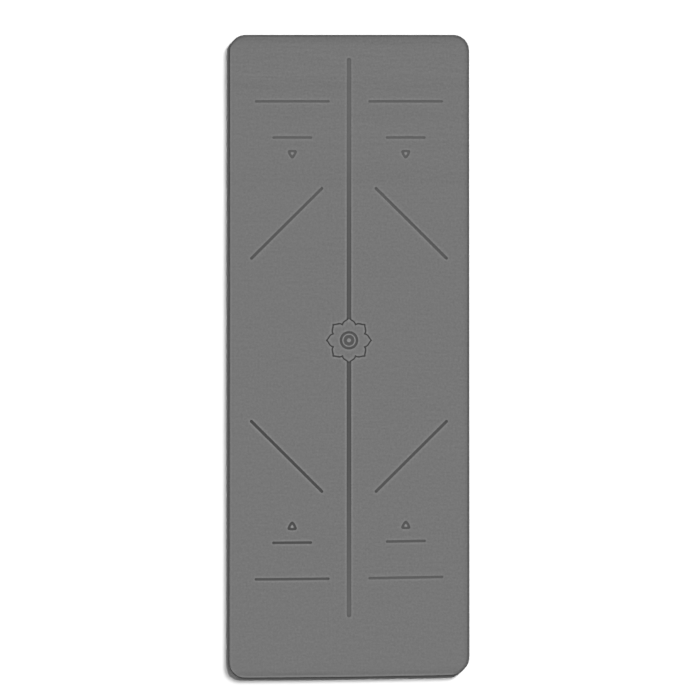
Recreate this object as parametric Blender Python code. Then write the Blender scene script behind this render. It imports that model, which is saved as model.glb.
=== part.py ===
# Yoga mat lying flat: a grip skin with etched guide lines on a nonwoven backing and a natural rubber base.
# Metres, +Z up. Width runs along X, length along Y with the head end at +Y, and the underside is at Z = 0.

from math import atan2, cos, pi, radians, sin, sqrt, tan

import bmesh
import bpy
from mathutils import Matrix, Vector
from mathutils.geometry import interpolate_bezier

# Whole mat
mat_length = 1.830
mat_width = 0.680
corner_radius = 0.046
cut_lean = 0.0006               # the die-cut side leans in by this much from the underside to the top

# Layers from the floor up
base_thickness = 0.0037
backing_thickness = 0.0004
skin_thickness = 0.0005
glue_line = 0.0002              # clearance for the film of glue between two layers

# Etching
etch_depth = 0.0002
bar_line = 0.0066               # width of the bars
diagonal_line = 0.0077
figure_shift = 0.0445           # the figure's centre lies this far from the mat's centre, towards the head

# Spine, the long line down the middle
spine_line = 0.012
spine_head_margin = 0.067       # bare skin between the spine and the head edge
spine_foot_margin = 0.170

# Hand and foot guides: a long bar, a short bar and a pointer, at each end on both sides of the spine
bar_end_margin = 0.1911         # from the head edge to the long bar
bar_side_margin = 0.0734        # from the side edge to the long bar's outer end
bar_spine_gap = 0.0546          # from the middle of the spine to the long bar's inner end
short_bar_length = 0.113
short_bar_step = 0.1033         # from the long bar to the short bar
pointer_step = 0.0454           # from the short bar to the pointer
pointer_reach = 0.0143          # from the pointer's centre to its tip
pointer_eye_reach = 0.0048      # the same for the bare eye that is left inside it
pointer_corner_share = 0.37     # corner radius as a share of the reach
pointer_side_bend = radians(11)  # half of the angle that each bulging side turns through

# Diagonals, at 45 degrees between the guides and the middle
diagonal_step = 0.0996          # from the pointer to the diagonal's inner end
diagonal_spine_gap = 0.0768
diagonal_side_margin = 0.0643

# Lotus outline round the figure's centre
petal_count = 8
lotus_line = 0.0035
lotus_radius = 0.0633           # to the petals' tips
petal_rise = 0.0152             # from the valley between two petals up to a tip
petal_valley_lean = radians(80)  # lean of the line where it leaves a valley, from square to the petal
petal_tip_lean = radians(48)    # and where it runs into a tip
petal_handle_share = 0.43       # curve handles as a share of the chord

# Medallion inside the lotus: a sunk disc with a ring and a dot left standing
disc_radius = 0.0262
ring_radius = 0.0172
ring_width = 0.0034
dot_radius = 0.0062

# Facets
corner_steps = 16
line_end_steps = 10
petal_steps = 6
pointer_steps = 5
circle_steps = 48

cut_overrun = 0.001             # how far the cutters stand above the skin

mat_thickness = base_thickness + backing_thickness + skin_thickness + 2 * glue_line
backing_floor = base_thickness + glue_line
skin_floor = backing_floor + backing_thickness + glue_line


def arc(centre, radius, start, end, steps):
    # Points on an arc, both ends included, anticlockwise when end is past start
    turns = [start + (end - start) * step / steps for step in range(steps + 1)]
    return [Vector((centre.x + radius * cos(turn), centre.y + radius * sin(turn))) for turn in turns]


def circle(radius):
    return arc(Vector((0, 0)), radius, 0, 2 * pi, circle_steps)[:-1]


def turned(loop, angle):
    turn = Matrix.Rotation(angle, 2)
    return [turn @ point for point in loop]


def moved(loop, x, y):
    return [point + Vector((x, y)) for point in loop]


def mat_outline(height):
    # The rounded rectangle that the leaning cut leaves at this height above the floor
    inset = cut_lean * height / mat_thickness
    radius = corner_radius - inset
    x = mat_width / 2 - corner_radius
    y = mat_length / 2 - corner_radius
    loop = []
    for quarter, centre in enumerate(((x, y), (-x, y), (-x, -y), (x, -y))):
        start = quarter * pi / 2
        loop += arc(Vector(centre), radius, start, start + pi / 2, corner_steps)
    return loop


def round_ended_line(start, end, width):
    # A straight line of the given width whose ends are half circles about the two points
    run = end - start
    heading = atan2(run.y, run.x)
    side = heading + pi / 2
    return (arc(end, width / 2, side - pi, side, line_end_steps)
            + arc(start, width / 2, side, side + pi, line_end_steps))


def offset_loop(loop, distance):
    # An anticlockwise loop moved out by distance, with mitred corners
    moved_out = []
    for before, point, after in zip(loop[-1:] + loop[:-1], loop, loop[1:] + loop[:1]):
        first = (point - before).normalized()
        second = (after - point).normalized()
        out = Vector((first.y, -first.x)) + Vector((second.y, -second.x))
        moved_out.append(point + out * distance / (1 + first.dot(second)))
    return moved_out


def add_ring(shape, loop, height):
    return [shape.verts.new((point.x, point.y, height)) for point in loop]


def add_wall(shape, lower, upper):
    for index in range(len(lower)):
        shape.faces.new((lower[index - 1], lower[index], upper[index], upper[index - 1]))


def add_plate(shape, low_loop, high_loop, low, high):
    # A closed plate lofted from one outline to another
    bottom = add_ring(shape, low_loop, low)
    top = add_ring(shape, high_loop, high)
    shape.faces.new(bottom[::-1])
    shape.faces.new(top)
    add_wall(shape, bottom, top)


def add_band(shape, outer_loop, inner_loop, low, high):
    # A closed band between an outer and an inner outline
    rings = [add_ring(shape, outer_loop, low), add_ring(shape, outer_loop, high),
             add_ring(shape, inner_loop, high), add_ring(shape, inner_loop, low)]
    for ring, next_ring in zip(rings, rings[1:] + rings[:1]):
        add_wall(shape, ring, next_ring)


def add_object(shape, name, material, collection, root, place):
    mesh = bpy.data.meshes.new(name)
    shape.to_mesh(mesh)
    shape.free()
    mesh.materials.append(material)
    mesh.shade_smooth()
    mesh.set_sharp_from_angle(angle=radians(30))
    item = bpy.data.objects.new(name, mesh)
    collection.objects.link(item)
    item.parent = root
    item.location = place
    return item


def add_material(name, colour, roughness):
    material = bpy.data.materials.new(name)
    material.use_nodes = True
    shader = material.node_tree.nodes["Principled BSDF"]
    shader.inputs["Base Color"].default_value = (colour, colour, colour, 1)
    shader.inputs["Roughness"].default_value = roughness
    shader.inputs["Metallic"].default_value = 0
    return material


def add_layer(name, floor, thickness, material, root):
    # One layer of the laminate, cut to the mat's outline
    shape = bmesh.new()
    add_plate(shape, mat_outline(floor), mat_outline(floor + thickness), 0, thickness)
    return add_object(shape, name, material, bpy.context.scene.collection, root, (0, 0, floor))


def add_cutter(name, loops, material, cutters, root):
    # A cutter for one etched mark, drawn about the figure's centre. A second loop is a bare island in it.
    shape = bmesh.new()
    if len(loops) == 2:
        add_band(shape, loops[0], loops[1], -etch_depth, cut_overrun)
    else:
        add_plate(shape, loops[0], loops[0], -etch_depth, cut_overrun)
    cutter = add_object(shape, name, material, cutters, root, (0, figure_shift, mat_thickness))
    cutter.hide_render = True
    cutter.display_type = "WIRE"


def lotus_loop():
    # The lotus line's middle. Each half petal is one curve from a valley to a tip.
    half_petal = pi / petal_count
    valley_radius = lotus_radius - petal_rise
    valley = Vector((valley_radius * sin(half_petal), valley_radius * cos(half_petal), 0))
    tip = Vector((0, lotus_radius, 0))
    handle = (tip - valley).length * petal_handle_share
    leaving = Vector((-cos(petal_valley_lean), sin(petal_valley_lean), 0))
    arriving = Vector((-cos(petal_tip_lean), sin(petal_tip_lean), 0))
    curve = interpolate_bezier(valley, valley + leaving * handle, tip - arriving * handle, tip,
                               petal_steps + 1)
    right_side = [point.to_2d() for point in curve]
    left_side = [Vector((-point.x, point.y)) for point in right_side[-2:0:-1]]
    loop = []
    for petal in range(petal_count):
        loop += turned(right_side + left_side, petal * 2 * half_petal)
    return loop


def spine_loop(reach):
    # The spine on one side of the lotus: a round end, and a notch that takes a petal's tip
    half = spine_line / 2
    shoulder = lotus_radius - half * tan(petal_tip_lean)
    round_end = arc(Vector((0, reach - half)), half, 0, pi, line_end_steps)
    return [Vector((half, shoulder))] + round_end + [Vector((-half, shoulder)), Vector((0, lotus_radius))]


def pointer_loop(reach):
    # A rounded triangle with bulging sides, its tip towards +Y
    corner = reach * pointer_corner_share
    corner_place = reach - corner
    half_corner = pi / 3 - pointer_side_bend
    side_radius = corner_place * sqrt(3) / 2 / sin(pointer_side_bend)
    loop = []
    for turn in (0, 2 * pi / 3, 4 * pi / 3):
        middle = pi / 2 + turn
        centre = Vector((cos(middle), sin(middle))) * corner_place
        loop += arc(centre, corner, middle - half_corner, middle + half_corner, pointer_steps)
        next_side = middle + pi / 3
        sunk = corner_place / 2 - side_radius * cos(pointer_side_bend)
        side_centre = Vector((cos(next_side), sin(next_side))) * sunk
        bend = pointer_side_bend
        loop += arc(side_centre, side_radius + corner, next_side - bend, next_side + bend,
                    pointer_steps)[1:-1]
    return loop


def add_spine(etched, cutters, root):
    head_reach = mat_length / 2 - figure_shift - spine_head_margin
    foot_reach = mat_length / 2 + figure_shift - spine_foot_margin
    add_cutter("cut_spine_head", [spine_loop(head_reach)], etched, cutters, root)
    add_cutter("cut_spine_foot", [turned(spine_loop(foot_reach), pi)], etched, cutters, root)


def add_lotus(etched, cutters, root):
    middle = lotus_loop()
    loops = [offset_loop(middle, lotus_line / 2), offset_loop(middle, -lotus_line / 2)]
    add_cutter("cut_lotus", loops, etched, cutters, root)


def add_medallion(etched, cutters, root):
    ring_outside = circle(ring_radius + ring_width / 2)
    ring_inside = circle(ring_radius - ring_width / 2)
    add_cutter("cut_disc_rim", [circle(disc_radius), ring_outside], etched, cutters, root)
    add_cutter("cut_disc_well", [ring_inside, circle(dot_radius)], etched, cutters, root)


def add_guides(etched, cutters, root):
    # Bars, pointers and diagonals, mirrored about the figure's centre both ways
    outer_end = mat_width / 2 - bar_side_margin
    guide_x = (bar_spine_gap + outer_end) / 2
    long_bar_y = mat_length / 2 - figure_shift - bar_end_margin
    short_bar_y = long_bar_y - short_bar_step
    pointer_y = short_bar_y - pointer_step
    inner_y = pointer_y - diagonal_step
    outer_x = mat_width / 2 - diagonal_side_margin
    outer_y = inner_y - (outer_x - diagonal_spine_gap)
    cap = bar_line / 2
    half_short = short_bar_length / 2 - cap
    lines = {
        "long_bar": (bar_line, (bar_spine_gap + cap, long_bar_y), (outer_end - cap, long_bar_y)),
        "short_bar": (bar_line, (guide_x - half_short, short_bar_y), (guide_x + half_short, short_bar_y)),
        "diagonal": (diagonal_line, (diagonal_spine_gap, inner_y), (outer_x, outer_y)),
    }
    for end_name, end in (("head", 1), ("foot", -1)):
        for side_name, side in (("left", -1), ("right", 1)):
            place = f"{end_name}_{side_name}"
            for line_name, (width, *points) in lines.items():
                start, stop = [Vector((x * side, y * end)) for x, y in points]
                loop = round_ended_line(start, stop, width)
                add_cutter(f"cut_{line_name}_{place}", [loop], etched, cutters, root)
            tip_turn = pi * (1 + end) / 2
            loops = [moved(turned(pointer_loop(reach), tip_turn), guide_x * side, pointer_y * end)
                     for reach in (pointer_reach, pointer_eye_reach)]
            add_cutter(f"cut_pointer_{place}", loops, etched, cutters, root)


def add_rubber_base(root):
    rubber = add_material("natural_rubber", 0.045, 0.85)
    return add_layer("rubber_base", 0, base_thickness, rubber, root)


def add_nonwoven_backing(root):
    fleece = add_material("nonwoven_fleece", 0.30, 0.95)
    return add_layer("nonwoven_backing", backing_floor, backing_thickness, fleece, root)


def add_grip_skin(root):
    polyurethane = add_material("cast_polyurethane", 0.184, 0.6)
    etched = add_material("etched_polyurethane", 0.10, 0.75)
    skin = add_layer("pu_grip_skin", skin_floor, skin_thickness, polyurethane, root)
    cutters = bpy.data.collections.new("guide_cutters")
    bpy.context.scene.collection.children.link(cutters)
    add_spine(etched, cutters, root)
    add_lotus(etched, cutters, root)
    add_medallion(etched, cutters, root)
    add_guides(etched, cutters, root)
    etching = skin.modifiers.new("etched_guides", "BOOLEAN")
    etching.operation = "DIFFERENCE"
    etching.operand_type = "COLLECTION"
    etching.collection = cutters
    etching.solver = "EXACT"
    etching.material_mode = "TRANSFER"
    return skin


def main():
    for item in list(bpy.data.objects):
        bpy.data.objects.remove(item)
    root = bpy.data.objects.new("yoga_mat", None)
    bpy.context.scene.collection.objects.link(root)
    add_rubber_base(root)
    add_nonwoven_backing(root)
    add_grip_skin(root)


main()
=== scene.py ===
from math import ceil, cos, exp, hypot, pi, radians, sin, sqrt

import bmesh
import bpy
from mathutils import Matrix, Vector, noise
from mathutils.geometry import interpolate_bezier
from numpy import interp


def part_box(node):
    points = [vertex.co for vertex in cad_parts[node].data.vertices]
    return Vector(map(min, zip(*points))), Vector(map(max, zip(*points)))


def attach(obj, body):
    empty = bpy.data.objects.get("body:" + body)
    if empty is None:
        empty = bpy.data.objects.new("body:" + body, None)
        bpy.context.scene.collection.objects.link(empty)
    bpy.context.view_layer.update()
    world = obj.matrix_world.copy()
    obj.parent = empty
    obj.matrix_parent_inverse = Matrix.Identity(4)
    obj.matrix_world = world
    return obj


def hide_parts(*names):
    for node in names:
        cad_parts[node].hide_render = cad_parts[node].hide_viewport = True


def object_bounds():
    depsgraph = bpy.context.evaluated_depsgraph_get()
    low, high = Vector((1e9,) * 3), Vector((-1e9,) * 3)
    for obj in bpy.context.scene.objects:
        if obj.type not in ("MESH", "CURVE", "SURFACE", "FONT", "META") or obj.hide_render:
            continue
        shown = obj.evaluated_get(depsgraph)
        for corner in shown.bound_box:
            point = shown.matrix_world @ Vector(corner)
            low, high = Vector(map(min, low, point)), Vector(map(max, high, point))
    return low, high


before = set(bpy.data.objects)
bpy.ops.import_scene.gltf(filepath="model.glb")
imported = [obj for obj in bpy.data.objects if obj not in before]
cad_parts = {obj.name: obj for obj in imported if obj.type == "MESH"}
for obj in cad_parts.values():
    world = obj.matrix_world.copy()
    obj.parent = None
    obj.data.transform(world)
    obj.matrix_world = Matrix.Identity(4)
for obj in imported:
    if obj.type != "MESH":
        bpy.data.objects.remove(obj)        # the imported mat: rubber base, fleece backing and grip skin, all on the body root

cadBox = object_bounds()
halfWidth, halfLength, matTop = cadBox[1]
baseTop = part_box("rubber_base")[1].z
fleeceFloor, fleeceTop = [corner.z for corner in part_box("nonwoven_backing")]
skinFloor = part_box("pu_grip_skin")[0].z
# how far the die-cut side leans in, per metre of height
cutLean = (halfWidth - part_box("pu_grip_skin")[1].x) / skinFloor
upAxis = Vector((0, 0, 1))
sharpAngle = radians(25)         # edges that turn further than this stay crisp
mergeDistance = 0.00001
cutDistance = 0.000001           # a cut that passes this near to a corner goes through it
print("frame: mat of", [round(1000 * side, 1) for side in (2 * halfWidth, 2 * halfLength, matTop)], "mm")


# How the mat lies. It has been stored rolled up, with the head end at the roll's core.
lay = {
    "cornerRadius": 0.046,
    "cornerSteps": 24,
    # creases across the mat, pressed in by the turns of the roll: the place from the head edge, the height,
    # which is below 0 for a hollow, and the runs of the slopes on the head's side and on the foot's side
    "creases": (
        (0.124, 0.00014, 0.016, 0.026),
        (0.161, -0.00005, 0.012, 0.020),
        (0.248, -0.00013, 0.019, 0.050),
        (0.325, -0.00006, 0.012, 0.030),
        (0.434, -0.00018, 0.032, 0.080),
    ),
    "creaseStray": 0.008,        # how far a crease strays from a straight line
    "creaseFade": 0.8,           # and how much its height varies along it
    "creaseReach": 0.180,        # how far along it both take to change
    # edges that have turned up, or down where the height is below 0: outward direction, height and reach
    "curls": (
        ((1, 0), 0.0003, 0.0110),
        ((0, 1), 0.0007, 0.0180),
        ((-1, 0), -0.0002, 0.0060),
        ((0, -1), -0.0005, 0.0120),
    ),
    "flatMargin": 0.025,         # inside it the layers' hidden faces are flat
    "waveHeight": 0.00006,       # shallow waves across the mat
    "waveLength": 0.110,
    "waveReach": 0.450,          # how far a wave runs across before it dies out
    "footSlip": 0.0008,          # the foot end lies slightly askew: its slip towards the head at the middle,
    "footSlipSlope": 0.013,      # the slip's growth to the right, per metre,
    "footSlipBend": 0.014,       # and the growth of that slope, per metre squared
    "footSlipStart": 0.390,      # from the mat's middle to where the slip begins
    "footSlipFull": 0.540,       # and to where it is whole
    "cornerTuck": 0.0042,        # the right foot corner has shrunk in by this much,
    "cornerTuckReach": 0.028,    # fading out over this distance
}


def smoothStep(value, low, high):
    share = min(1, max(0, (value - low) / (high - low)))
    return share * share * (3 - 2 * share)


def surfaceLift(x, y):
    # height that the creases, the waves and the curled edges add to the top of the mat
    lift = lay["waveHeight"] * noise.noise(Vector((x / lay["waveReach"], y / lay["waveLength"], 0)))
    for number, (place, height, headRun, footRun) in enumerate(lay["creases"], start=1):
        stray = lay["creaseStray"] * noise.noise(Vector((x / lay["creaseReach"], number, 0)))
        fade = 1 + lay["creaseFade"] * noise.noise(Vector((x / lay["creaseReach"], 0, number)))
        off = halfLength - place + stray - y
        lift += height * fade * exp(-(off / (footRun if off > 0 else headRun)) ** 2)
    for (outX, outY), height, reach in lay["curls"]:
        inside = abs(outX) * halfWidth + abs(outY) * halfLength - outX * x - outY * y
        lift += height * exp(-(inside / reach) ** 2)
    return lift


def layMat(bm):
    # the same slip, tuck and creases for every layer; the underside stays flat on the floor
    cornerInset = lay["cornerRadius"] * (1 - sqrt(0.5))
    footCorner = Vector((halfWidth - cornerInset, cornerInset - halfLength))
    for vert in bm.verts:
        x, y, z = vert.co
        slip = lay["footSlip"] + lay["footSlipSlope"] * x + lay["footSlipBend"] * x * x
        nearCorner = exp(-((vert.co.xy - footCorner).length / lay["cornerTuckReach"]) ** 2)
        tuck = lay["cornerTuck"] * sqrt(0.5) * nearCorner
        vert.co.x -= tuck
        vert.co.y += tuck + slip * smoothStep(-y, lay["footSlipStart"], lay["footSlipFull"])
        vert.co.z += surfaceLift(x, y) * z / matTop


# Building blocks

def newPiece(bm, name, materials, node):
    bmesh.ops.recalc_face_normals(bm, faces=bm.faces)
    mesh = bpy.data.meshes.new(name)
    bm.to_mesh(mesh)
    bm.free()
    for material in materials:
        mesh.materials.append(material)
    mesh.shade_smooth()
    mesh.set_sharp_from_angle(angle=sharpAngle)
    piece = bpy.data.objects.new(name, mesh)
    piece.modifiers.new("flat faces lead", "WEIGHTED_NORMAL").keep_sharp = True
    bpy.context.scene.collection.objects.link(piece)
    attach(piece, "root")
    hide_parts(node)
    return piece


def allGeom(bm):
    return list(bm.verts) + list(bm.edges) + list(bm.faces)


def drawOutline(bm, inset, height, step):
    # the mat's rounded outline as one face, moved in by inset, its straight sides cut to steps
    bmesh.ops.create_grid(bm, x_segments=1, y_segments=1, size=1, matrix=Matrix.Translation((0, 0, height)))
    bmesh.ops.scale(bm, vec=(halfWidth - inset, halfLength - inset, 1), verts=bm.verts)
    bmesh.ops.bevel(bm, geom=list(bm.verts), offset=lay["cornerRadius"] - inset, offset_type="OFFSET",
                    affect="VERTICES", segments=lay["cornerSteps"], profile=0.5, material=-1)
    for edge in [edge for edge in bm.edges if edge.calc_length() > step]:
        bmesh.ops.bisect_edges(bm, edges=[edge], cuts=ceil(edge.calc_length() / step) - 1)


def growRim(bm, edges, out, height):
    # carries a rim on to a new height, moved out, or in where out is below 0
    grown = bmesh.ops.extrude_edge_only(bm, edges=edges)["geom"]
    verts = [item for item in grown if isinstance(item, bmesh.types.BMVert)]
    farX = max(vert.co.x for vert in verts)
    farY = max(vert.co.y for vert in verts)
    bmesh.ops.scale(bm, vec=(1 + out / farX, 1 + out / farY, 0), verts=verts)
    bmesh.ops.translate(bm, vec=(0, 0, height), verts=verts)
    return [item for item in grown
            if isinstance(item, bmesh.types.BMEdge) and all(vert in verts for vert in item.verts)]


def closeLayer(bm, rim, height):
    # fills a rim with one flat face that keeps clear of the curled edges
    bmesh.ops.edgeloop_fill(bm, edges=growRim(bm, rim, -lay["flatMargin"], height))


def roughenSide(bm, low, high, depth, grain):
    # small pits and bumps in the cut side
    squareness = 9               # an odd power turns the way out from the middle into the way out of a side
    for vert in bm.verts:
        if low <= vert.co.z <= high:
            side = Vector((vert.co.x / halfWidth, vert.co.y / halfLength, 0))
            out = Vector((side.x ** squareness, side.y ** squareness, 0)).normalized()
            vert.co += out * depth * noise.noise(vert.co / grain)


# Materials

def hexColour(code):
    # sRGB hex to linear
    channels = [int(code[place:place + 2], 16) / 255 for place in (1, 3, 5)]
    return tuple(c / 12.92 if c <= 0.04045 else ((c + 0.055) / 1.055) ** 2.4 for c in channels) + (1,)


def grey(level):
    # one level as an opaque colour
    return level, level, level, 1


def setInputs(node, inputs):
    # a plain value is set, and (node, output) is linked
    for socket, value in inputs.items():
        if isinstance(value, tuple) and isinstance(value[0], bpy.types.Node):
            node.id_data.links.new(value[0].outputs[value[1]], node.inputs[socket])
        else:
            node.inputs[socket].default_value = value


def addNode(tree, kind, inputs, **settings):
    node = tree.nodes.new(kind)
    for name, value in settings.items():
        setattr(node, name, value)
    setInputs(node, inputs)
    return node


def newMaterial(name):
    material = bpy.data.materials.new(name)
    material.use_nodes = True
    return material, material.node_tree.nodes["Principled BSDF"]


noiseLow = 0.25                  # most of a noise pattern's values lie between these two
noiseHigh = 0.75

skinFinish = {
    "colour": "#646464",
    "roughness": 0.66,
    "ior": 1.5,
    "mottleGrain": 0.0048,       # blotches where the matting agent lies thicker
    "mottleShare": 0.070,        # how far they swing the tone
    "dentGrain": 0.010,          # shallow dents that handling leaves, darkened in the colour: painted shade
    "dentPaintedShade": 0.021,
    "dentHeight": 0.00004,
    "wrinkleAcross": 0.060,      # fine wrinkles that rolling leaves across the mat, lightened on top in the colour: painted light
    "wrinkleAlong": 0.0080,
    "wrinklePaintedLight": 0.015,
    "wrinkleHeight": 0.00005,
    "headWrinkles": 1.7,         # at the head, the roll's core, they are this many times as strong
    "headWrinkleReach": 0.45,
    "grain": 0.0011,             # the real grain is about 0.3 mm; drawn coarser so that it shows
    "grainHeight": 0.000018,
}


def castPolyurethane():
    # Polyurethane film cast on matt release paper: an even, dry, slightly leathery surface with no gloss
    material, shader = newMaterial("castPolyurethaneMatt")
    tree = material.node_tree
    place = (addNode(tree, "ShaderNodeTexCoord", {}), "Object")
    mottle = addNode(tree, "ShaderNodeTexNoise", {
        "Vector": place, "Scale": 1 / skinFinish["mottleGrain"], "Detail": 3.0, "Roughness": 0.6})
    dents = addNode(tree, "ShaderNodeTexNoise", {
        "Vector": place, "Scale": 1 / skinFinish["dentGrain"], "Detail": 1.0})
    squeeze = (skinFinish["wrinkleAlong"] / skinFinish["wrinkleAcross"], 1, 1)
    stretched = addNode(tree, "ShaderNodeMapping", {"Vector": place, "Scale": squeeze})
    wrinkles = addNode(tree, "ShaderNodeTexNoise", {
        "Vector": (stretched, "Vector"), "Scale": 1 / skinFinish["wrinkleAlong"], "Detail": 2.0,
        "Roughness": 0.5, "Distortion": 0.4})
    axes = addNode(tree, "ShaderNodeSeparateXYZ", {"Vector": place})
    tightness = (addNode(tree, "ShaderNodeMapRange", {
        "Value": (axes, "Y"), "From Min": halfLength - skinFinish["headWrinkleReach"], "From Max": halfLength,
        "To Min": 1.0, "To Max": skinFinish["headWrinkles"]}), "Result")
    # the tone is the colour times 1, give or take each pattern's share: the mottle is the film's own tone,
    # the dents' share is painted shade in the hollows and the wrinkles' share is painted light on their tops
    swing = 1.0
    for pattern, share in ((mottle, "mottleShare"), (dents, "dentPaintedShade"), (wrinkles, "wrinklePaintedLight")):
        change = (addNode(tree, "ShaderNodeMapRange", {
            "Value": (pattern, "Fac"), "From Min": noiseLow, "From Max": noiseHigh,
            "To Min": -skinFinish[share], "To Max": skinFinish[share]}), "Result")
        if pattern == wrinkles:
            change = (addNode(tree, "ShaderNodeMath", {0: change, 1: tightness},
                              operation="MULTIPLY"), "Value")
        swing = (addNode(tree, "ShaderNodeMath", {0: swing, 1: change}, operation="ADD"), "Value")
    tone = addNode(tree, "ShaderNodeVectorMath", {0: hexColour(skinFinish["colour"])[:3], "Scale": swing},
                   operation="SCALE")
    raised = addNode(tree, "ShaderNodeMath", {0: (wrinkles, "Fac"), 1: tightness}, operation="MULTIPLY")
    grain = addNode(tree, "ShaderNodeTexNoise", {
        "Vector": place, "Scale": 1 / skinFinish["grain"], "Detail": 2.0, "Roughness": 0.6})
    bump = addNode(tree, "ShaderNodeBump", {
        "Height": (raised, "Value"), "Distance": skinFinish["wrinkleHeight"]})
    for pattern, height in ((dents, "dentHeight"), (grain, "grainHeight")):
        bump = addNode(tree, "ShaderNodeBump", {
            "Height": (pattern, "Fac"), "Distance": skinFinish[height], "Normal": (bump, "Normal")})
    setInputs(shader, {"Base Color": (tone, "Vector"), "Normal": (bump, "Normal"),
                       "Roughness": skinFinish["roughness"], "IOR": skinFinish["ior"]})
    return material


etchFinish = {
    "lightBurn": "#5c5c5c",
    "fullBurn": "#373737",
    "roughness": 0.72,
    "ior": 1.5,
    "grain": 0.0016,             # coarser than the real one, as the film's grain is
    "grainHeight": 0.00003,
}
burn = {                         # how hard the laser has burnt, from 0 to 1
    # the spine and the guides by how far they lie from the figure's centre, towards the head
    "places": (-0.75, -0.57, -0.53, -0.35, -0.15, 0.15, 0.35, 0.53, 0.57, 0.65),
    "spine": (0.24, 0.41, 0.45, 0.61, 0.64, 0.57, 0.47, 0.26, 0.24, 0.21),
    "guides": (0.20, 0.33, 0.42, 0.49, 0.53, 0.45, 0.40, 0.30, 0.20, 0.22),
    "footLeft": 0.16,            # more on the guides at the foot's left
    "lotus": 0.72,
    "disc": 0.50,
}


def burnAt(x, y):
    # x and y are measured from the figure's centre
    rise = y - lotus["shift"]
    slack = 1.05                 # takes in the whole width of a line
    tipShare = 0.97              # past this share of the radius the spine has begun
    if hypot(x, rise) < lotus["discRadius"] * slack:
        return burn["disc"]
    if hypot(x, rise) < lotus["radius"] * slack and abs(rise) < lotus["radius"] * tipShare:
        return burn["lotus"]
    onSpine = abs(x) < figure["spineWidth"]
    strength = interp(y, burn["places"], burn["spine"] if onSpine else burn["guides"])
    if not onSpine and x < 0 and y < 0:
        strength += burn["footLeft"]
    return strength


def etchedPolyurethane():
    # The same film where a laser has burnt off its matt top: darker, and a little rough
    material, shader = newMaterial("laserEtchedPolyurethane")
    tree = material.node_tree
    strength = addNode(tree, "ShaderNodeAttribute", {}, attribute_name="burn")
    tone = addNode(tree, "ShaderNodeMix", {
        "Factor": (strength, "Fac"), 6: hexColour(etchFinish["lightBurn"]),
        7: hexColour(etchFinish["fullBurn"])}, data_type="RGBA")
    place = (addNode(tree, "ShaderNodeTexCoord", {}), "Object")
    grain = addNode(tree, "ShaderNodeTexNoise", {
        "Vector": place, "Scale": 1 / etchFinish["grain"], "Detail": 2.0})
    bump = addNode(tree, "ShaderNodeBump", {
        "Height": (grain, "Fac"), "Distance": etchFinish["grainHeight"]})
    setInputs(shader, {"Base Color": (tone, 2), "Normal": (bump, "Normal"),
                       "Roughness": etchFinish["roughness"], "IOR": etchFinish["ior"]})
    return material


# Grip skin with its etched figure, drawn about the figure's centre
skin = {
    "rowStep": 0.006,            # mesh rows, fine enough for the roll's creases
    "columnStep": 0.034,
    "shoulder": 0.0003,          # the die rounds the top edge over
    "shoulderDrop": 0.0002,
    "shoulderSteps": 4,
    # distances from the edges of more mesh rows, for the curl
    "rimCuts": (0.0015, 0.0035, 0.006, 0.010, 0.016, 0.025),
    "etchDepth": 0.00006,
    "etchWall": 0.00006,         # run of the sloping wall of an etched line
}
figure = {
    "shift": 0.0445,             # from the mat's middle to the figure's, towards the head
    "sideSlip": -0.0013,         # the laser's bed held the mat a hair off its middle
    "spineWidth": 0.0129,
    "spineHeadMargin": 0.067,    # bare skin between the spine and the head edge
    "spineFootMargin": 0.170,
    "barWidth": 0.0076,
    "diagonalWidth": 0.0086,
    "endSteps": 12,              # in the half circle at a bar's or diagonal's end
    "spineEndSteps": 8,          # in a quarter circle of the spine's end
    "barEndMargin": 0.1911,      # from the head edge to the long bar
    "barSideMargin": 0.0734,
    "barSpineGap": 0.0546,
    "shortBarLength": 0.113,
    "shortBarStep": 0.1033,      # from the long bar to the short one
    "pointerStep": 0.0454,       # from the short bar to the pointer
    "pointerReach": 0.0143,      # from the pointer's centre to its tip
    "pointerEyeReach": 0.0048,
    "pointerCornerShare": 0.37,  # corner radius as a share of the reach
    "pointerSideBend": radians(11),     # half of the angle that a bulging side turns through
    "pointerSteps": 8,           # in each of its arcs
    "diagonalStep": 0.0996,      # from the pointer to the diagonal's inner end
    "diagonalSpineGap": 0.0768,
    "diagonalSideMargin": 0.0643,
}
lotus = {
    "petals": 8,
    "shift": -0.0015,            # from the figure's centre to the lotus's; below 0 is towards the foot
    "line": 0.0034,
    "radius": 0.0633,            # to the petals' tips
    "petalRise": 0.0152,         # from a valley up to a tip
    "valleySlope": radians(80),
    "tipSlope": radians(48),
    "handleShare": 0.43,         # curve handles as a share of the chord
    "petalPoints": 10,           # along half a petal
    "discRadius": 0.0262,        # sunk disc in the middle, with a ring and a dot left standing
    "ringRadius": 0.0172,
    "ringWidth": 0.0030,
    "dotRadius": 0.0056,
    "circleSteps": 64,
}


def drawArc(bm, vert, centre, angle, steps):
    # spins a vertex about a point and returns the one it ends on
    spun = bmesh.ops.spin(bm, geom=[vert], cent=centre, axis=upAxis, dvec=(0, 0, 0), angle=angle, steps=steps)
    return [item for item in spun["geom_last"] if isinstance(item, bmesh.types.BMVert)][0]


def drawRun(bm, vert, step):
    # a straight edge on from a vertex
    moved = bmesh.ops.extrude_vert_indiv(bm, verts=[vert])["verts"]
    bmesh.ops.translate(bm, vec=step, verts=moved)
    return moved[0]


def drawLine(bm, start, end, width):
    # a line of even width with round ends
    run = end - start
    side = upAxis.cross(run).normalized() * width / 2
    first = bm.verts.new(end - side)
    corner = drawArc(bm, first, end, pi, figure["endSteps"])
    corner = drawRun(bm, corner, -run)
    last = drawArc(bm, corner, start, pi, figure["endSteps"])
    bm.edges.new((last, first))


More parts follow.
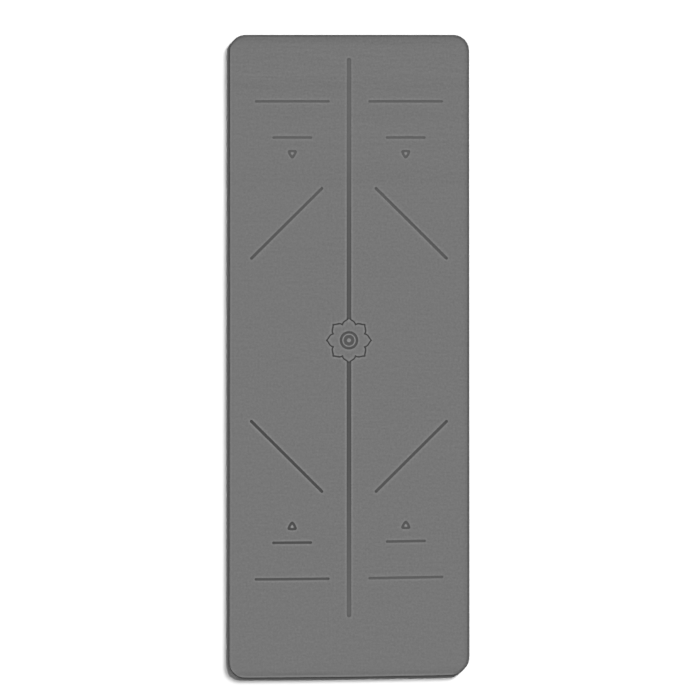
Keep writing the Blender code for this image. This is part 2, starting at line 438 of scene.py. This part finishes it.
def drawPointer(bm, centre, reach, tipDown):
    # a rounded triangle with bulging sides
    corner = reach * figure["pointerCornerShare"]
    cornerPlace = reach - corner
    bend = figure["pointerSideBend"]
    steps = figure["pointerSteps"]
    sideRadius = cornerPlace * sqrt(3) / 2 / sin(bend)
    sunk = cornerPlace / 2 - sideRadius * cos(bend)
    turn = Matrix.Rotation(pi if tipDown else 0, 3, "Z")
    halfCorner = pi / 3 - bend
    start = Matrix.Rotation(-halfCorner, 3, "Z") @ Vector((0, corner, 0)) + Vector((0, cornerPlace, 0))
    vert = bm.verts.new(centre + turn @ start)
    drawn = len(bm.verts)
    for side in range(3):
        spoke = turn @ Matrix.Rotation(side * 2 * pi / 3, 3, "Z") @ Vector((0, 1, 0))
        nextSpoke = Matrix.Rotation(pi / 3, 3, "Z") @ spoke
        vert = drawArc(bm, vert, centre + spoke * cornerPlace, 2 * halfCorner, steps)
        vert = drawArc(bm, vert, centre + nextSpoke * sunk, 2 * bend, steps)
    bm.verts.ensure_lookup_table()
    bmesh.ops.remove_doubles(bm, verts=bm.verts[drawn - 1:], dist=mergeDistance)


def petalLine():
    # the lotus line's middle as one face: half a petal, mirrored and spun round
    petal = bmesh.new()
    halfTurn = pi / lotus["petals"]
    valleyRadius = lotus["radius"] - lotus["petalRise"]
    valley = Vector((valleyRadius * sin(halfTurn), valleyRadius * cos(halfTurn), 0))
    tip = Vector((0, lotus["radius"], 0))
    handle = (tip - valley).length * lotus["handleShare"]
    leave = Vector((-cos(lotus["valleySlope"]), sin(lotus["valleySlope"]), 0)) * handle
    arrive = Vector((-cos(lotus["tipSlope"]), sin(lotus["tipSlope"]), 0)) * handle
    curve = interpolate_bezier(valley, valley + leave, tip - arrive, tip, lotus["petalPoints"])
    verts = [petal.verts.new(point) for point in curve]
    for before, after in zip(verts, verts[1:]):
        petal.edges.new((before, after))
    bmesh.ops.mirror(petal, geom=allGeom(petal), merge_dist=mergeDistance, axis="X")
    bmesh.ops.spin(petal, geom=allGeom(petal), cent=(0, 0, 0), axis=upAxis, dvec=(0, 0, 0),
                   angle=2 * pi - 2 * halfTurn, steps=lotus["petals"] - 1, use_duplicate=True)
    bmesh.ops.remove_doubles(petal, verts=petal.verts, dist=mergeDistance)
    bmesh.ops.edgeloop_fill(petal, edges=petal.edges)
    bmesh.ops.translate(petal, vec=(0, lotus["shift"], 0), verts=petal.verts)
    return petal


def offsetFace(bm, distance):
    # moves a lone face's outline in by distance, or out where it is below 0, and keeps only that outline
    face = list(bm.faces)[0]
    bmesh.ops.inset_region(bm, faces=[face], thickness=distance, use_even_offset=True, use_boundary=True)
    bmesh.ops.delete(bm, geom=[vert for vert in bm.verts if vert not in face.verts], context="VERTS")
    bmesh.ops.delete(bm, geom=list(bm.faces), context="FACES_ONLY")


def takeIn(bm, other):
    # joins another bmesh's geometry into this one
    mesh = bpy.data.meshes.new("part")
    other.to_mesh(mesh)
    other.free()
    bm.from_mesh(mesh)
    bpy.data.meshes.remove(mesh)


def drawSpineAndLotus(bm):
    # one joined mark: the spine runs into the lotus line, whose tips point into it
    half = figure["spineWidth"] / 2
    headReach = halfLength - figure["shift"] - figure["spineHeadMargin"]
    footReach = halfLength + figure["shift"] - figure["spineFootMargin"]
    outside = petalLine()
    offsetFace(outside, -lotus["line"] / 2)
    bmesh.ops.bisect_plane(outside, geom=allGeom(outside), plane_co=(half, 0, 0), plane_no=(1, 0, 0),
                           clear_inner=True, dist=cutDistance)
    ends = sorted([vert for vert in outside.verts if len(vert.link_edges) == 1], key=lambda vert: vert.co.y)
    for end, reach, sense in ((ends[0], footReach, -1), (ends[1], headReach, 1)):
        roundStart = drawRun(outside, end, (0, sense * (reach - half) - end.co.y, 0))
        drawArc(outside, roundStart, (0, sense * (reach - half), 0), sense * pi / 2,
                figure["spineEndSteps"])
    bmesh.ops.mirror(outside, geom=allGeom(outside), merge_dist=mergeDistance, axis="X")
    takeIn(bm, outside)
    inside = petalLine()
    offsetFace(inside, lotus["line"] / 2)
    takeIn(bm, inside)


def drawMedallion(bm):
    for radius in (lotus["discRadius"], lotus["ringRadius"] + lotus["ringWidth"] / 2,
                   lotus["ringRadius"] - lotus["ringWidth"] / 2, lotus["dotRadius"]):
        bmesh.ops.create_circle(bm, cap_ends=False, segments=lotus["circleSteps"], radius=radius,
                                matrix=Matrix.Translation((0, lotus["shift"], 0)))


def drawGuides(bm):
    # a long bar, a short bar, a pointer and a diagonal, at both ends and on both sides of the spine
    cap = figure["barWidth"] / 2
    outerEnd = halfWidth - figure["barSideMargin"]
    guideX = (figure["barSpineGap"] + outerEnd) / 2
    longBarY = halfLength - figure["shift"] - figure["barEndMargin"]
    shortBarY = longBarY - figure["shortBarStep"]
    pointerY = shortBarY - figure["pointerStep"]
    innerY = pointerY - figure["diagonalStep"]
    outerX = halfWidth - figure["diagonalSideMargin"]
    outerY = innerY - (outerX - figure["diagonalSpineGap"])
    halfShort = figure["shortBarLength"] / 2 - cap
    for end in (1, -1):
        for side in (1, -1):
            flip = Matrix.Diagonal((side, end, 1))
            for width, start, stop in (
                    ("barWidth", (figure["barSpineGap"] + cap, longBarY), (outerEnd - cap, longBarY)),
                    ("barWidth", (guideX - halfShort, shortBarY), (guideX + halfShort, shortBarY)),
                    ("diagonalWidth", (figure["diagonalSpineGap"], innerY), (outerX, outerY))):
                drawLine(bm, flip @ Vector((*start, 0)), flip @ Vector((*stop, 0)), figure[width])
            centre = flip @ Vector((guideX, pointerY, 0))
            for reach in (figure["pointerReach"], figure["pointerEyeReach"]):
                drawPointer(bm, centre, reach, tipDown=end > 0)


def gripSkin():
    bm = bmesh.new()
    drawOutline(bm, cutLean * matTop + skin["shoulder"], matTop, 2 * halfLength)
    bmesh.ops.delete(bm, geom=list(bm.faces), context="FACES_ONLY")
    outline = list(bm.edges)
    marks = bmesh.new()
    drawSpineAndLotus(marks)
    drawMedallion(marks)
    drawGuides(marks)
    bmesh.ops.translate(marks, vec=(figure["sideSlip"], figure["shift"], matTop), verts=marks.verts)
    takeIn(bm, marks)
    markEdges = [edge for edge in bm.edges if edge not in outline]
    # nested outlines fill by turns: the first fill is the bare skin, the second the etched marks
    bmesh.ops.triangle_fill(bm, use_beauty=True, edges=outline + markEdges, normal=upAxis)
    filled = bmesh.ops.triangle_fill(bm, use_beauty=True, edges=markEdges, normal=upAxis)["geom"]
    etched = [item for item in filled if isinstance(item, bmesh.types.BMFace)]
    for face in etched:
        face.material_index = 1
    bmesh.ops.inset_region(bm, faces=etched, thickness=skin["etchWall"], depth=-skin["etchDepth"],
                           use_even_offset=True, use_boundary=True)
    for step, far, axis in ((skin["rowStep"], halfLength, Vector((0, 1, 0))),
                            (skin["columnStep"], halfWidth, Vector((1, 0, 0)))):
        count = ceil(2 * far / step)
        cuts = [far * (2 * cut / count - 1) for cut in range(1, count)]
        cuts += [side * (far - inside) for inside in skin["rimCuts"] for side in (1, -1)]
        for cut in cuts:
            bmesh.ops.bisect_plane(bm, geom=allGeom(bm), dist=cutDistance, plane_co=axis * cut, plane_no=axis)
    rim = [edge for edge in bm.edges if edge.is_boundary]
    for step in range(1, skin["shoulderSteps"] + 1):
        turn = pi / 2 * step / skin["shoulderSteps"]
        before = pi / 2 * (step - 1) / skin["shoulderSteps"]
        rim = growRim(bm, rim, skin["shoulder"] * (sin(turn) - sin(before)),
                      matTop - skin["shoulderDrop"] * (1 - cos(turn)))
    closeLayer(bm, growRim(bm, rim, cutLean * (matTop - skinFloor), skinFloor), skinFloor)
    burnLayer = bm.verts.layers.float.new("burn")
    for vert in bm.verts:
        vert[burnLayer] = burnAt(vert.co.x - figure["sideSlip"], vert.co.y - figure["shift"])
    layMat(bm)
    bmesh.ops.triangulate(bm, faces=bm.faces)
    return newPiece(bm, "grip_skin", [castPolyurethane(), etchedPolyurethane()], "pu_grip_skin")


gripSkinPiece = gripSkin()
print("grip skin:", len(gripSkinPiece.data.polygons), "faces")


# Fleece backing between the skin and the base; only its edge shows
fleece = {
    "colour": "#9c9c98",
    "paintedShade": "#6f6f6c",          # painted shade between the fibres
    "paintedShadeEnd": 0.3,             # values of the fibre pattern where the painted shade ends
    "colourStart": 0.65,         # and where the full colour starts
    "roughness": 0.95,
    "ior": 1.5,
    "sheen": 0.3,
    "sideStep": 0.003,
    "fibreHeight": 0.00012,      # fibres stand proud of the cut
    "fibreGrain": 0.0011,
    "fibreWidth": 0.0006,        # thicker than a real fibre, so that the felt shows
    "fibreRelief": 0.0001,
}


def needledFleece():
    # Polyester fibres needled into a thin felt: dry, soft and slightly sheeny at the cut
    material, shader = newMaterial("needledPolyesterFleece")
    tree = material.node_tree
    place = (addNode(tree, "ShaderNodeTexCoord", {}), "Object")
    fibres = addNode(tree, "ShaderNodeTexNoise", {
        "Vector": place, "Scale": 1 / fleece["fibreWidth"], "Detail": 4.0, "Distortion": 1.5})
    # darker between the fibres, where the bump sinks: painted shade
    tone = addNode(tree, "ShaderNodeValToRGB", {"Fac": (fibres, "Fac")})
    paintedShade, full = tone.color_ramp.elements
    paintedShade.position = fleece["paintedShadeEnd"]
    paintedShade.color = hexColour(fleece["paintedShade"])
    full.position = fleece["colourStart"]
    full.color = hexColour(fleece["colour"])
    bump = addNode(tree, "ShaderNodeBump", {"Height": (fibres, "Fac"), "Distance": fleece["fibreRelief"]})
    setInputs(shader, {"Base Color": (tone, "Color"), "Normal": (bump, "Normal"),
                       "Roughness": fleece["roughness"], "IOR": fleece["ior"],
                       "Sheen Weight": fleece["sheen"]})
    return material


def fleeceBacking():
    bm = bmesh.new()
    drawOutline(bm, cutLean * fleeceFloor, fleeceFloor, fleece["sideStep"])
    middle = (fleeceFloor + fleeceTop) / 2
    rim = growRim(bm, list(bm.edges), -cutLean * (middle - fleeceFloor), middle)
    closeLayer(bm, growRim(bm, rim, -cutLean * (fleeceTop - middle), fleeceTop), fleeceTop)
    roughenSide(bm, fleeceFloor, fleeceTop, fleece["fibreHeight"], fleece["fibreGrain"])
    layMat(bm)
    return newPiece(bm, "fleece_backing", [needledFleece()], "nonwoven_backing")


fleecePiece = fleeceBacking()
print("fleece backing:", len(fleecePiece.data.polygons), "faces")


# Rubber base: foamed, with shallow grip ribs across its underside, die-cut with a slight lean
rubber = {
    "colour": "#454545",
    "paintedShade": "#2b2b2b",          # painted shade inside the cells
    "paintedShadeEnd": 0.1,             # values of the cell pattern where the painted shade ends
    "colourStart": 0.45,         # and where the full colour starts
    "roughness": 0.86,
    "ior": 1.52,
    "ribPitch": 0.008,
    "ribGroove": 0.0030,         # width of a groove at the floor
    "ribWall": 0.0006,           # run of its sloping walls
    "ribDepth": 0.0004,
    "sideStep": 0.004,
    "sideStart": 0.0006,         # height at which the side starts, clear of the ribs
    "sideRings": 5,
    "poreDepth": 0.00016,        # cut foam cells in the side
    "poreGrain": 0.0012,
    "poreSize": 0.0008,
    "poreRelief": 0.00012,
}


def foamedRubber():
    # Foamed natural rubber: dull and dry, with small open cells where the die has cut through
    material, shader = newMaterial("foamedNaturalRubber")
    tree = material.node_tree
    place = (addNode(tree, "ShaderNodeTexCoord", {}), "Object")
    cells = addNode(tree, "ShaderNodeTexVoronoi", {"Vector": place, "Scale": 1 / rubber["poreSize"]},
                    feature="SMOOTH_F1")
    # darker inside the cells, where the bump sinks: painted shade
    tone = addNode(tree, "ShaderNodeValToRGB", {"Fac": (cells, "Distance")})
    paintedShade, full = tone.color_ramp.elements
    paintedShade.position = rubber["paintedShadeEnd"]
    paintedShade.color = hexColour(rubber["paintedShade"])
    full.position = rubber["colourStart"]
    full.color = hexColour(rubber["colour"])
    bump = addNode(tree, "ShaderNodeBump", {"Height": (cells, "Distance"), "Distance": rubber["poreRelief"]})
    setInputs(shader, {"Base Color": (tone, "Color"), "Normal": (bump, "Normal"),
                       "Roughness": rubber["roughness"], "IOR": rubber["ior"]})
    return material


def rubberBase():
    bm = bmesh.new()
    drawOutline(bm, 0, 0, rubber["sideStep"])
    ribCount = int(2 * halfLength / rubber["ribPitch"])
    pitch = 2 * halfLength / ribCount
    groove, wall = rubber["ribGroove"] / 2, rubber["ribWall"]
    for rib in range(ribCount):
        middle = -halfLength + pitch * (rib + 0.5)
        for offset, depth in ((-groove, 0), (wall - groove, rubber["ribDepth"]),
                              (groove - wall, rubber["ribDepth"]), (groove, 0)):
            cut = bmesh.ops.bisect_plane(bm, geom=allGeom(bm), dist=cutDistance,
                                         plane_co=(0, middle + offset, 0), plane_no=(0, 1, 0))["geom_cut"]
            for vert in [item for item in cut if isinstance(item, bmesh.types.BMVert)]:
                vert.co.z = depth
    sideStart = rubber["sideStart"]
    rise = (baseTop - sideStart) / (rubber["sideRings"] - 1)
    rim = growRim(bm, [edge for edge in bm.edges if edge.is_boundary], -cutLean * sideStart, sideStart)
    for ring in range(1, rubber["sideRings"]):
        rim = growRim(bm, rim, -cutLean * rise, sideStart + rise * ring)
    closeLayer(bm, rim, baseTop)
    aboveRibs = (rubber["ribDepth"] + sideStart) / 2
    roughenSide(bm, aboveRibs, baseTop, rubber["poreDepth"], rubber["poreGrain"])
    layMat(bm)
    return newPiece(bm, "rubber_foam_base", [foamedRubber()], "rubber_base")


rubberPiece = rubberBase()
print("rubber base:", len(rubberPiece.data.polygons), "faces")


# Studio: white floor, a low soft key light from the upper right and a weak even fill
studio = {
    "floorSize": 120,
    "floorDrop": 0.0001,         # keeps the floor clear of the underside
    "floorColour": "#f3f3f3",
    "keyEnergy": 14.95,
    "keyElevation": radians(12.4),
    "keyAzimuth": radians(44),   # from +X towards +Y
    "lampAngle": radians(8),     # half of the key light comes from the lamp,
    "glowAngle": radians(27),    # and half from the glow of the diffuser round it
    "fillStrength": 0.200,
}


def buildStudio():
    bm = bmesh.new()
    bmesh.ops.create_grid(bm, x_segments=1, y_segments=1, size=studio["floorSize"] / 2,
                          matrix=Matrix.Translation((0, 0, -studio["floorDrop"])))
    mesh = bpy.data.meshes.new("studio_floor")
    bm.to_mesh(mesh)
    bm.free()
    material, shader = newMaterial("mattWhitePaint")
    setInputs(shader, {"Base Color": hexColour(studio["floorColour"]), "Roughness": 1.0, "IOR": 1.45,
                       "Specular IOR Level": 0})
    mesh.materials.append(material)
    floor = bpy.data.objects.new("studio_floor", mesh)
    bpy.context.scene.collection.objects.link(floor)

    level = cos(studio["keyElevation"])
    towards = Vector((level * cos(studio["keyAzimuth"]), level * sin(studio["keyAzimuth"]),
                      sin(studio["keyElevation"])))
    for name, angle in (("key_lamp", studio["lampAngle"]), ("key_glow", studio["glowAngle"])):
        key = bpy.data.lights.new(name, "SUN")
        key.energy = studio["keyEnergy"] / 2
        key.angle = angle
        lamp = bpy.data.objects.new(name, key)
        lamp.rotation_mode = "QUATERNION"
        lamp.rotation_quaternion = towards.to_track_quat("Z", "Y")
        bpy.context.scene.collection.objects.link(lamp)

    world = bpy.data.worlds.new("studio_fill")
    world.use_nodes = True
    background = world.node_tree.nodes["Background"]
    setInputs(background, {"Color": grey(1), "Strength": studio["fillStrength"]})
    bpy.context.scene.world = world
    bpy.context.scene.view_settings.view_transform = "Standard"


buildStudio()
print("studio: floor, key light and fill")


# Camera: nearly overhead, from far away with a long lens, so the sides stay parallel
shot = {
    "lens": 1000,                # mm
    "sensor": 36,                # mm
    "clipEnd": 200,
    "frameWidth": 1.9804,        # metres across the picture at the mat
    "elevation": radians(83.8),
    "aim": (0.0017, 0.0155),     # the picture's centre on the mat
    "saturation": 0,             # 1 for a coloured mat
    "gamma": 2.2,                # the picture is sharpened as the eye sees it
    "sharpen": 1.95,
    "sharpenReach": 2,           # pixels
    "sharpenSoften": 0.39,       # takes out the finest noise first
    "sharpenCeiling": 0.34,      # what is brighter than this is left as it is
    "sharpenFloorShare": 0.62,   # and nothing gets darker than this share of what it was
}


def placeCamera():
    data = bpy.data.cameras.new("overhead_camera")
    data.sensor_width = shot["sensor"]
    data.lens = shot["lens"]
    data.clip_end = shot["clipEnd"]
    distance = shot["frameWidth"] * shot["lens"] / data.sensor_width
    camera = bpy.data.objects.new("overhead_camera", data)
    back = Vector((0, -cos(shot["elevation"]), sin(shot["elevation"])))
    camera.location = Vector((*shot["aim"], matTop)) + back * distance
    camera.rotation_mode = "QUATERNION"
    camera.rotation_quaternion = (-back).to_track_quat("-Z", "Y")
    bpy.context.scene.collection.objects.link(camera)
    bpy.context.scene.camera = camera


def developPicture():
    # takes out the faint tints that denoising leaves on greys, then sharpens the mat as a camera does,
    # by adding what a slight blur takes away
    bpy.context.scene.use_nodes = True
    tree = bpy.context.scene.node_tree
    tree.nodes.clear()
    rendered = (addNode(tree, "CompositorNodeRLayers", {}), "Image")
    picture = (addNode(tree, "CompositorNodeHueSat", {
        "Image": rendered, "Saturation": shot["saturation"]}), "Image")
    dark = (addNode(tree, "CompositorNodeMixRGB", {1: picture, 2: grey(shot["sharpenCeiling"])},
                    blend_type="DARKEN"), "Image")
    evened = (addNode(tree, "CompositorNodeGamma", {"Image": dark, "Gamma": 1 / shot["gamma"]}), "Image")
    soft = (addNode(tree, "CompositorNodeFilter", {"Image": evened, "Fac": shot["sharpenSoften"]},
                    filter_type="SOFTEN"), "Image")
    blurred = (addNode(tree, "CompositorNodeBlur", {"Image": soft}, filter_type="FLAT",
                       size_x=shot["sharpenReach"], size_y=shot["sharpenReach"]), "Image")
    detail = (addNode(tree, "CompositorNodeMixRGB", {1: soft, 2: blurred}, blend_type="SUBTRACT"), "Image")
    strong = (addNode(tree, "CompositorNodeMixRGB", {1: detail, 2: grey(shot["sharpen"])},
                      blend_type="MULTIPLY"), "Image")
    sharp = (addNode(tree, "CompositorNodeMixRGB", {1: soft, 2: strong}, blend_type="ADD"), "Image")
    sharpened = (addNode(tree, "CompositorNodeGamma", {"Image": sharp, "Gamma": shot["gamma"]}), "Image")
    # above the floor, and only what has changed goes on to the picture
    least = (addNode(tree, "CompositorNodeMixRGB", {1: dark, 2: grey(shot["sharpenFloorShare"])},
                     blend_type="MULTIPLY"), "Image")
    limited = (addNode(tree, "CompositorNodeMixRGB", {1: sharpened, 2: least}, blend_type="LIGHTEN"), "Image")
    gain = (addNode(tree, "CompositorNodeMixRGB", {1: limited, 2: dark}, blend_type="SUBTRACT"), "Image")
    developed = (addNode(tree, "CompositorNodeMixRGB", {1: picture, 2: gain}, blend_type="ADD"), "Image")
    addNode(tree, "CompositorNodeComposite", {"Image": developed})


placeCamera()
developPicture()
print("camera: in place, picture sharpened")
